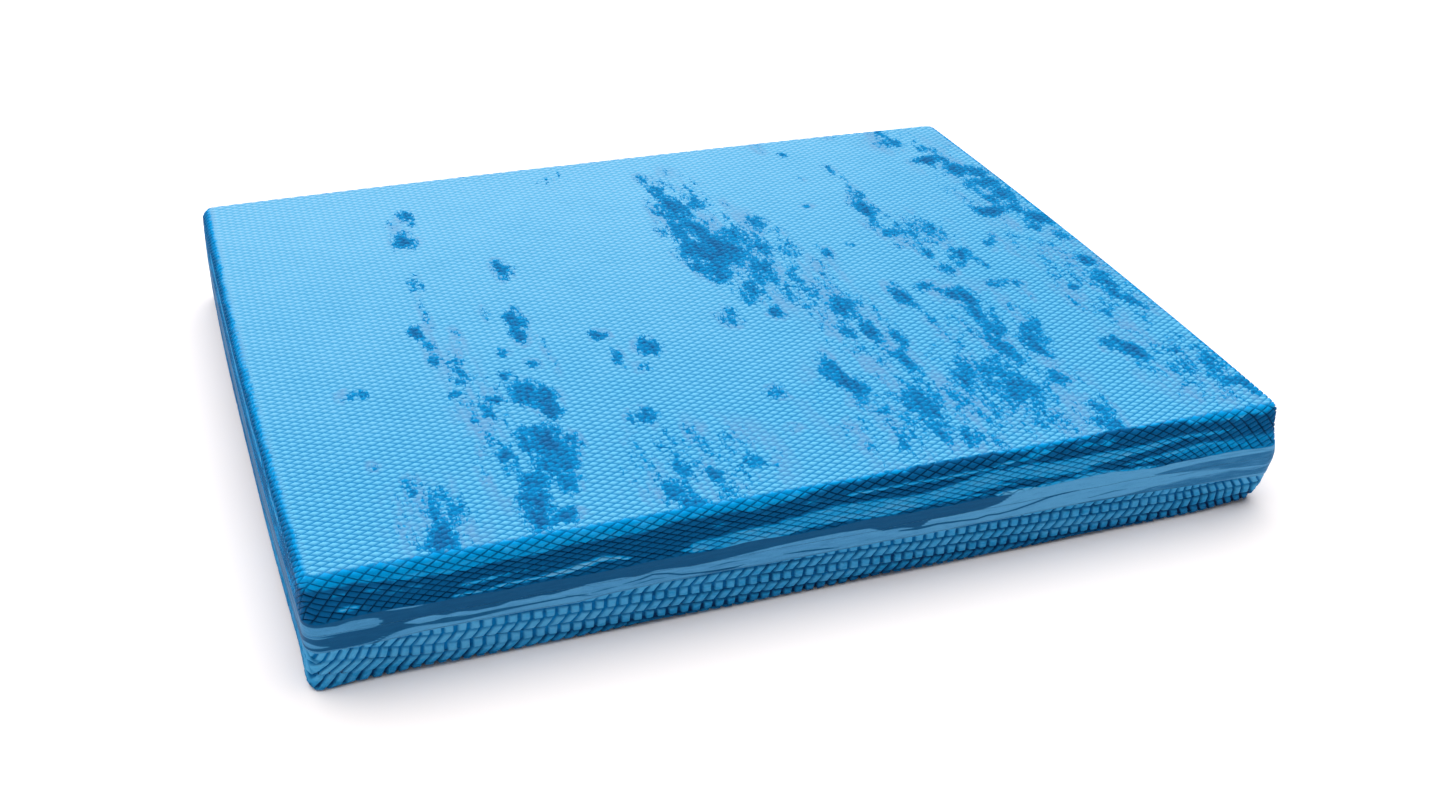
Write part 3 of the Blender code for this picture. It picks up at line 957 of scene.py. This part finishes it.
def tread_sheet():
    """The coarse tread: rows of bars, upright and slanted in turn, with grooves between the bars."""
    reach = TREAD_SECTION.sheet_at(24 * MM) + 1.5 * BAR_PITCH
    rows = math.ceil((CORNER_Y + reach) / ROW_PITCH) + 2
    span = CORNER_X + reach + rows * BAR_SLANT / 2
    columns = math.ceil(span / BAR_PITCH) + 3
    bar_steps = np.array((0, BAR_GROOVE, BAR_GROOVE + BAR_WALL, BAR_PITCH - BAR_WALL))
    bar_lift = np.array((-BAR_DEPTH, -BAR_DEPTH, 0, 0))
    v, lift_v, leaning, starts = tread_rows(rows)
    u = (np.arange(-columns, columns + 1)[:, None] * BAR_PITCH + bar_steps).ravel()
    lift_u = np.tile(bar_lift, 2 * columns + 1)
    rise = np.diff(v, append=v[-1] + ROW_WALL)
    lean = -np.concatenate(([0], np.cumsum(np.where(leaning, rise, 0)[:-1]))) * BAR_SLANT / ROW_PITCH
    lean -= lean[len(lean) // 2]
    front = -CORNER_Y - TREAD_SECTION.sheet_at(SLANTED_ROW_HEIGHT)
    phase = front * math.cos(TREAD_TURN) - SLANTED_ROW_PLACE * math.sin(TREAD_TURN) - 1.5 * ROW_PITCH
    flat_u = u[:, None] + lean[None, :]
    flat_v = np.broadcast_to(v + phase % (2 * ROW_PITCH), flat_u.shape)
    off_front = np.clip(turned(flat_u, flat_v)[1] - front, -SHEAR_REACH, SHEAR_REACH)
    flat_u = flat_u + BAR_SHEAR * smooth_step(*SHEAR_PLACE, flat_u) * off_front
    # how far the rows are parted, which grows from the left end of the front towards its middle
    spot = stacked(flat_u.ravel() / (28 * MM), flat_v.ravel() / (7 * MM), 0)
    apart = 0.15 + 0.75 * value_noise(spot, 73) + 0.45 * smooth_step(-200 * MM, -90 * MM, flat_u.ravel())
    lift = np.minimum(lift_u[:, None], lift_v[None, :] * np.minimum(apart, 1.1).reshape(flat_u.shape))
    random = np.random.default_rng(19)
    groove = np.clip(-lift / BAR_DEPTH, 0, 1)
    lift = np.minimum(lift + random.normal(0, BAR_HEIGHT_SPREAD, lift.shape), 0)
    flat_u = flat_u + random.normal(0, BAR_PLACE_SPREAD, lift.shape)
    sheet_u, sheet_v = turned(flat_u, flat_v)
    near = np.maximum(np.abs(sheet_u) - CORNER_X, np.abs(sheet_v) - CORNER_Y) < reach
    points = np.zeros((lift.size, 3))
    used = near.ravel()
    points[used] = drape(TREAD_SECTION, sheet_u.ravel()[used], sheet_v.ravel()[used], lift.ravel()[used])
    number = np.arange(len(points)).reshape(lift.shape)
    cells, heights = [], []
    for column in range(0, lift.shape[0] - 4, 4):
        for row, after in zip(starts, starts[1:]):
            if not near[column:column + 5, row:after + 1].all():
                continue
            faces = []
            for a in range(column, column + 4):
                for b in range(row, after):
                    corners = (number[a, b], number[a, b + 1], number[a + 1, b + 1], number[a + 1, b])
                    faces.append(tuple(int(corner) for corner in corners))
            cells.append(faces)
            heights.append(points[number[column:column + 5, row:after + 1].ravel(), 2].mean())
    return Sheet(points, groove.ravel(), cells, np.array(heights), -1, tread_tone)


# ---------------------------------------------------------------- the smooth band

BAND_COLUMNS = 1200


def seam_wander(place, seed, size):
    """How far an edge strays from level, once round the pad without a step."""
    angle = place / PERIMETER * 2 * math.pi
    ring = stacked(np.cos(angle) * 9, np.sin(angle) * 9, 0)
    return (rough_noise(ring, seed, octaves=4) - 0.5) * 2 * size


def band_rings(shell, highs, lows, steps):
    """Rings of the smooth band between two wandering edges; returns the vertex numbers of each ring."""
    place = np.arange(BAND_COLUMNS) / BAND_COLUMNS * PERIMETER
    rings = []
    for step in range(steps + 1):
        share = step / steps
        height = highs + (lows - highs) * share
        x, y = on_perimeter(place, reach_at(height))
        points = stacked(x, y, height)
        ripple = rough_noise(points / (0.03, 0.03, 0.0022), seed=71, octaves=3) - 0.5
        x, y = on_perimeter(place, reach_at(height) + ripple * 0.35 * MM)
        points = stacked(x, y, height)
        first = shell.add_points(points, side_tone(points, SMOOTH_BANDS, OTHER_SMOOTH_LINES), 0.0)
        rings.append(list(range(first, first + BAND_COLUMNS)))
    faces = []
    for upper, lower in zip(rings, rings[1:]):
        for k in range(BAND_COLUMNS):
            after = (k + 1) % BAND_COLUMNS
            faces.append((upper[k], lower[k], lower[after], upper[after]))
    shell.add_faces(faces, SMOOTH)
    return rings


# ---------------------------------------------------------------- materials

def srgb(red, green, blue):
    """A colour named by its screen values, 0 to 255, as linear numbers."""
    def linear(value):
        value /= 255
        return value / 12.92 if value <= 0.04045 else ((value + 0.055) / 1.055) ** 2.4
    return (linear(red), linear(green), linear(blue), 1.0)


class Nodes:
    """A short way to add nodes to a material and link them."""

    def __init__(self, name):
        self.material = bpy.data.materials.new(name)
        self.material.use_nodes = True
        self.tree = self.material.node_tree
        self.shader = self.tree.nodes["Principled BSDF"]

    def add(self, kind, settings=(), **inputs):
        node = self.tree.nodes.new(kind)
        for name, value in dict(settings).items():
            setattr(node, name, value)
        for name, value in inputs.items():
            self.set(node.inputs[name.replace("_", " ")], value)
        return node

    def set(self, socket, value):
        if isinstance(value, bpy.types.NodeSocket):
            self.tree.links.new(value, socket)
        else:
            socket.default_value = value

    def attribute(self, name):
        return self.add("ShaderNodeAttribute", {"attribute_name": name}).outputs["Fac"]

    def place(self):
        """Where a point of the surface lies on the pad: along X, Y and Z."""
        split = self.add("ShaderNodeSeparateXYZ", Vector=self.add("ShaderNodeTexCoord").outputs["Object"])
        return split.outputs[:]

    def math(self, operation, first, second, clamp=False):
        node = self.add("ShaderNodeMath", {"operation": operation, "use_clamp": clamp})
        self.set(node.inputs[0], first)
        self.set(node.inputs[1], second)
        return node.outputs[0]

    def noise(self, scale, stretch=(1, 1, 1), detail=3.0, roughness=0.6, distortion=0.0):
        place = self.add("ShaderNodeTexCoord").outputs["Object"]
        scaled = self.add("ShaderNodeMapping", Vector=place, Scale=stretch)
        node = self.add(
            "ShaderNodeTexNoise", Vector=scaled.outputs[0], Scale=scale, Detail=detail, Roughness=roughness,
            Distortion=distortion,
        )
        return node.outputs["Fac"]

    def ramp(self, value, stops):
        """A colour ramp; each stop is its position and its red, green and blue screen values."""
        node = self.add("ShaderNodeValToRGB", Fac=value)
        elements = node.color_ramp.elements
        while len(elements) < len(stops):
            elements.new(0.5)
        for element, (position, *screen_values) in zip(elements, stops):
            element.position = position
            element.color = srgb(*screen_values)
        return node.outputs["Color"]

    def mix(self, share, first, second):
        node = self.add("ShaderNodeMix", {"data_type": "RGBA"})
        self.set(node.inputs[0], share)
        self.set(node.inputs[6], first)
        self.set(node.inputs[7], second)
        return node.outputs[2]

    def bump(self, height, distance, strength, normal=None):
        node = self.add("ShaderNodeBump", Height=height, Distance=distance, Strength=strength)
        if normal is not None:
            self.set(node.inputs["Normal"], normal)
        return node.outputs["Normal"]

    def surface(self, colour, normal, roughness, specular=None):
        """Links up the finished shader and returns the material."""
        self.set(self.shader.inputs["Base Color"], colour)
        self.set(self.shader.inputs["Normal"], normal)
        self.set(self.shader.inputs["Roughness"], roughness)
        if specular is not None:
            self.shader.inputs["Specular IOR Level"].default_value = specular
        return self.material

    def scaled(self, value, amount, base):
        """The value times amount, added to base."""
        return self.math("ADD", self.math("MULTIPLY", value, amount), base)


def uneven_tone(nodes, noise, amount, base=None):
    """The mesh's tone with a ragged edge finer than the mesh."""
    grain = nodes.math("MULTIPLY", nodes.math("SUBTRACT", noise, 0.5), amount)
    return nodes.math("ADD", nodes.attribute("tone") if base is None else base, grain)


def lozenge_material():
    nodes = Nodes("lozenge_foam")
    flank = nodes.attribute("flank")
    groove = nodes.attribute("groove")
    # the grooves take a darker, deeper blue: painted shade in the grooves, over their real relief
    groove_shade_share = nodes.math("POWER", groove, 0.7)
    clouds = nodes.noise(30, detail=4.0, roughness=0.7)

    # the top: light blue that pales towards the back, partly the foam's own tone and partly painted sheen,
    # torn azure marks, and a grey veil near them; the grooves carry painted shade
    reach = nodes.math("MULTIPLY", nodes.attribute("tone"), 7.0, clamp=True)
    lumps = nodes.noise(110, (1.3, 0.45, 1.0), detail=3.0, roughness=0.6)
    flecks = nodes.noise(380, (1.3, 0.6, 1.0), detail=5.0, roughness=0.75)
    tone = nodes.math("MULTIPLY", nodes.attribute("tone"), 0.76)
    tone = uneven_tone(nodes, lumps, nodes.math("MULTIPLY", reach, 1.5), tone)
    tone = uneven_tone(nodes, flecks, nodes.math("MULTIPLY", reach, 1.9), tone)
    branches = nodes.noise(70, (1.2, 0.55, 1.0), detail=2.0)
    off_vein = nodes.math("ABSOLUTE", nodes.math("SUBTRACT", branches, 0.5), 0.0)
    vein = nodes.math("SUBTRACT", 0.34, nodes.math("MULTIPLY", off_vein, 26.0), clamp=True)
    tone = nodes.math("ADD", tone, nodes.math("MULTIPLY", vein, reach))
    marks = ((0.36, 0, 148, 210), (0.62, 4, 132, 192), (0.92, 26, 108, 164))
    # the marks' colours in the grooves, darker: painted groove shade
    groove_shade_marks = ((0.36, 0, 106, 166), (0.62, 0, 96, 150), (0.92, 0, 66, 116))

    def marked(light, groove_shade_light):
        raised = nodes.ramp(tone, ((0.33, *light), *marks))
        groove_shade = nodes.ramp(tone, ((0.33, *groove_shade_light), *groove_shade_marks))
        return nodes.mix(groove_shade_share, raised, groove_shade)

    # front: the top's colours without painted sheen; back: paler, with painted sheen and lighter grooves,
    # partly the foam's own paler tone
    front = marked((100, 185, 224), (0, 116, 174))
    back = marked((134, 190, 225), (52, 156, 202))
    # painted sheen: the top pales towards the back, less so on its right half, unevenly with the clouds
    along, across, _ = nodes.place()
    sheen_towards_back = nodes.math("MULTIPLY", across, 3.3)
    less_sheen_to_right = nodes.math("MULTIPLY", nodes.math("MAXIMUM", along, 0.0), -1.9)
    uneven = nodes.math("ADD", nodes.math("MULTIPLY", clouds, 0.6), 0.16)
    pale = nodes.math("ADD", nodes.math("ADD", sheen_towards_back, less_sheen_to_right), uneven, clamp=True)
    on_top = nodes.mix(pale, front, back)
    streaks = nodes.noise(55, (1.5, 0.45, 1.0), detail=4.0, roughness=0.7)
    veil = nodes.math("MULTIPLY", nodes.math("SUBTRACT", streaks, 0.47), 7.0, clamp=True)
    light_part = nodes.math("MULTIPLY", nodes.math("SUBTRACT", 0.36, tone), 8.0, clamp=True)
    veil = nodes.math("MULTIPLY", veil, light_part)
    veil = nodes.math("MULTIPLY", veil, nodes.math("MULTIPLY", reach, 0.5))
    on_top = nodes.mix(veil, on_top, srgb(108, 148, 190))

    # the sides: azure, navy and pale bands with frayed edges
    band = uneven_tone(nodes, nodes.noise(300, (0.3, 0.3, 1.5), detail=4.0, roughness=0.6), 0.55)
    raised = nodes.ramp(band, (
        (0.00, 104, 182, 228), (0.12, 92, 174, 222), (0.30, 42, 162, 224), (0.42, 0, 150, 218),
        (0.52, 0, 144, 212), (0.66, 8, 122, 184), (0.82, 14, 102, 158), (1.00, 4, 88, 142),
    ))
    # darker colours in the grooves of the sides: painted groove shade
    groove_shade = nodes.ramp(band, (
        (0.00, 0, 122, 180), (0.34, 0, 112, 172), (0.60, 0, 80, 130), (1.00, 0, 42, 78),
    ))
    on_side = nodes.mix(groove, raised, groove_shade)
    pores = nodes.bump(nodes.noise(2600, detail=2.0), 0.0002, 0.35)
    roughness = nodes.scaled(nodes.noise(900, detail=2.0), 0.2, 0.42)
    return nodes.surface(nodes.mix(flank, on_top, on_side), pores, roughness, specular=0.02)


def smooth_material():
    nodes = Nodes("smooth_foam")
    frayed = nodes.noise(260, (0.3, 0.3, 2.4), detail=4.0, roughness=0.6)
    specks = nodes.noise(1500, detail=3.0, roughness=0.7)
    tone = uneven_tone(nodes, frayed, 0.6)
    tone = uneven_tone(nodes, specks, 0.22, tone)
    colour = nodes.ramp(tone, (
        (0.00, 88, 166, 216), (0.14, 78, 154, 206), (0.30, 66, 140, 190),
        (0.46, 44, 120, 172), (0.70, 18, 96, 144), (1.00, 12, 84, 132),
    ))
    flow = nodes.noise(240, (0.25, 0.25, 4.0), detail=3.0)
    lines = nodes.bump(flow, 0.0006, 0.35)
    pores = nodes.bump(specks, 0.0003, 0.6, lines)
    return nodes.surface(colour, pores, nodes.scaled(flow, 0.25, 0.4), specular=0.08)


def tread_material():
    nodes = Nodes("tread_foam")
    tone = uneven_tone(nodes, nodes.noise(230, (1.0, 1.0, 2.0), detail=4.0), 0.9)
    raised = nodes.ramp(tone, (
        (0.00, 92, 176, 224), (0.35, 72, 166, 220), (0.65, 34, 146, 206), (1.00, 2, 102, 162),
    ))
    # darker colours in the grooves between the bars and rows: painted groove shade
    groove_shade = nodes.ramp(tone, ((0.00, 0, 132, 200), (0.4, 0, 104, 164), (0.7, 0, 56, 104), (1.00, 0, 34, 74)))
    colour = nodes.mix(nodes.attribute("groove"), raised, groove_shade)
    grain = nodes.noise(1800, detail=3.0)
    pores = nodes.bump(grain, 0.0003, 0.5)
    return nodes.surface(colour, pores, nodes.scaled(grain, 0.2, 0.5), specular=0.06)


def cut_material():
    """The hidden faces between the plies: open cells of the foam."""
    nodes = Nodes("cut_foam")
    cells = nodes.noise(900, detail=4.0)
    colour = nodes.ramp(cells, ((0.35, 40, 110, 165), (0.65, 90, 160, 205)))
    return nodes.surface(colour, nodes.bump(cells, 0.0005, 0.6), 0.85)


LOZENGE, SMOOTH, TREAD, CUT = range(4)


# ---------------------------------------------------------------- the six plies

def lozenge_end(place):
    return LOZENGE_END + seam_wander(place, 81, 1.6 * MM)


def tread_end(place):
    """Height at which the tread stops: as along the front, then level round the other sides."""
    round_trip = PERIMETER / MM
    along = place / MM + CORNER_RADIUS / MM
    along = np.where(along > round_trip, along - round_trip, along)
    level = ((LENGTH / MM + 30, TREAD_END), (round_trip - 40, TREAD_END))
    knots = FRONT_TREAD_END + level + ((round_trip, FRONT_TREAD_END[0][1]),)
    bend, height = np.array(knots).T
    return np.interp(along, bend, height) * MM + seam_wander(place, 83, 0.7 * MM)


def build_plies():
    shells = {name: Shell() for name in PLY_NAMES}
    base_seam, tread_seam, middle_seam, upper_seam, top_seam = SEAMS
    place = np.arange(BAND_COLUMNS) / BAND_COLUMNS * PERIMETER

    sheet = lozenge_sheet()
    heights = sheet.heights
    top_loops = sheet_part(shells["top_ply"], sheet, heights > top_seam, LOZENGE)
    shells["top_ply"].close(top_loops[0], top_seam, 1)
    between = (heights <= top_seam) & (heights > upper_seam)
    upper_loops = sheet_part(shells["upper_ply"], sheet, between, LOZENGE)
    shells["upper_ply"].close(upper_loops[0], top_seam, -1)
    shells["upper_ply"].close(upper_loops[1], upper_seam, 1)

    shell = shells["upper_middle_ply"]
    loops = sheet_part(shell, sheet, heights <= upper_seam, LOZENGE, end=lozenge_end)
    shell.close(loops[0], upper_seam, -1)
    wander = seam_wander(place, 85, 0.9 * MM)
    rings = band_rings(shell, lozenge_end(place) - 0.4 * MM, middle_seam + wander, 20)
    shell.join(loops[1], rings[0], SMOOTH)
    shell.close(rings[-1], middle_seam, 1)

    shell = shells["lower_middle_ply"]
    joint = tread_end(place) + 0.5 * MM
    rings = band_rings(shell, middle_seam + wander, joint, 26)
    shell.close(rings[0], middle_seam, -1)
    shell.close(rings[-1], tread_seam, 1)

    shell = shells["lower_ply"]
    sheet = tread_sheet()
    heights = sheet.heights
    loops = sheet_part(shell, sheet, heights > base_seam, TREAD, end=tread_end)
    rings = band_rings(shell, joint, joint - 0.2 * MM, 1)
    shell.join(loops[0], rings[-1], SMOOTH)
    shell.close(rings[0], tread_seam, -1)
    shell.close(loops[1], base_seam, 1)
    loops = sheet_part(shells["base_ply"], sheet, heights <= base_seam, TREAD)
    shells["base_ply"].close(loops[0], base_seam, -1)

    materials = (lozenge_material(), smooth_material(), tread_material(), cut_material())
    for name in PLY_NAMES:
        ply = shells[name].build(f"{name}_foam", materials)
        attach(ply, "root")
        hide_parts(name)


# ---------------------------------------------------------------- stage, light and camera

FLOOR_SIZE = 12.0  # from its middle to each side
FLOOR_COLOUR = (0.965, 0.915, 0.90, 1)
FLOOR_DROP = 0.3 * MM
SOFTBOX_STRENGTH = 3.9
SOFTBOX_WIDTH = math.radians(90)  # as seen from the pad
SOFTBOX_DIRECTION = (0.04, 0.42, 1.0)
EVEN_LIGHT = 0.3


def add_floor():
    mesh = bpy.data.meshes.new("floor")
    corners = [(FLOOR_SIZE * x, FLOOR_SIZE * y, 0) for x, y in ((-1, -1), (1, -1), (1, 1), (-1, 1))]
    mesh.from_pydata(corners, [], [(0, 1, 2, 3)])
    floor = bpy.data.objects.new("floor", mesh)
    floor.location.z = -FLOOR_DROP
    bpy.context.scene.collection.objects.link(floor)
    nodes = Nodes("studio_floor")
    nodes.shader.inputs["Base Color"].default_value = FLOOR_COLOUR
    nodes.shader.inputs["Roughness"].default_value = 0.9
    nodes.shader.inputs["Specular IOR Level"].default_value = 0.1
    mesh.materials.append(nodes.material)


def add_lights():
    """A wide softbox overhead, leaning to the back, and a weak even light all round."""
    world = bpy.data.worlds.new("studio")
    world.use_nodes = True
    background = world.node_tree.nodes["Background"]
    background.inputs["Color"].default_value = (1, 1, 1, 1)
    background.inputs["Strength"].default_value = EVEN_LIGHT
    bpy.context.scene.world = world
    softbox = bpy.data.lights.new("softbox", "SUN")
    softbox.energy = SOFTBOX_STRENGTH
    softbox.angle = SOFTBOX_WIDTH
    lamp = bpy.data.objects.new("softbox", softbox)
    lamp.rotation_euler = Vector(SOFTBOX_DIRECTION).to_track_quat("Z", "Y").to_euler()
    bpy.context.scene.collection.objects.link(lamp)


CAMERA_PLACE = (-0.2963, -0.8201, 0.5025)
CAMERA_HEADING = 20.954  # degrees, from +Y towards +X
CAMERA_DIP = 30.339  # degrees below level
CAMERA_ROLL = -1.778
CAMERA_LENS = 43.25


def add_camera():
    camera = bpy.data.cameras.new("camera")
    camera.lens = CAMERA_LENS
    camera.sensor_width = 36
    camera.clip_start = 0.01
    holder = bpy.data.objects.new("camera", camera)
    heading, dip, roll = (math.radians(value) for value in (CAMERA_HEADING, CAMERA_DIP, CAMERA_ROLL))
    forward = Vector((
        math.sin(heading) * math.cos(dip), math.cos(heading) * math.cos(dip), -math.sin(dip)
    ))
    level_right = forward.cross(Vector((0, 0, 1))).normalized()
    level_down = forward.cross(level_right)
    right = level_right * math.cos(roll) + level_down * math.sin(roll)
    up = right.cross(forward)
    turn = Matrix((right, up, -forward)).transposed()
    holder.matrix_world = Matrix.Translation(CAMERA_PLACE) @ turn.to_4x4()
    bpy.context.scene.collection.objects.link(holder)
    bpy.context.scene.camera = holder


add_camera()
add_floor()
add_lights()
build_plies()
bpy.context.scene.view_settings.view_transform = "Standard"
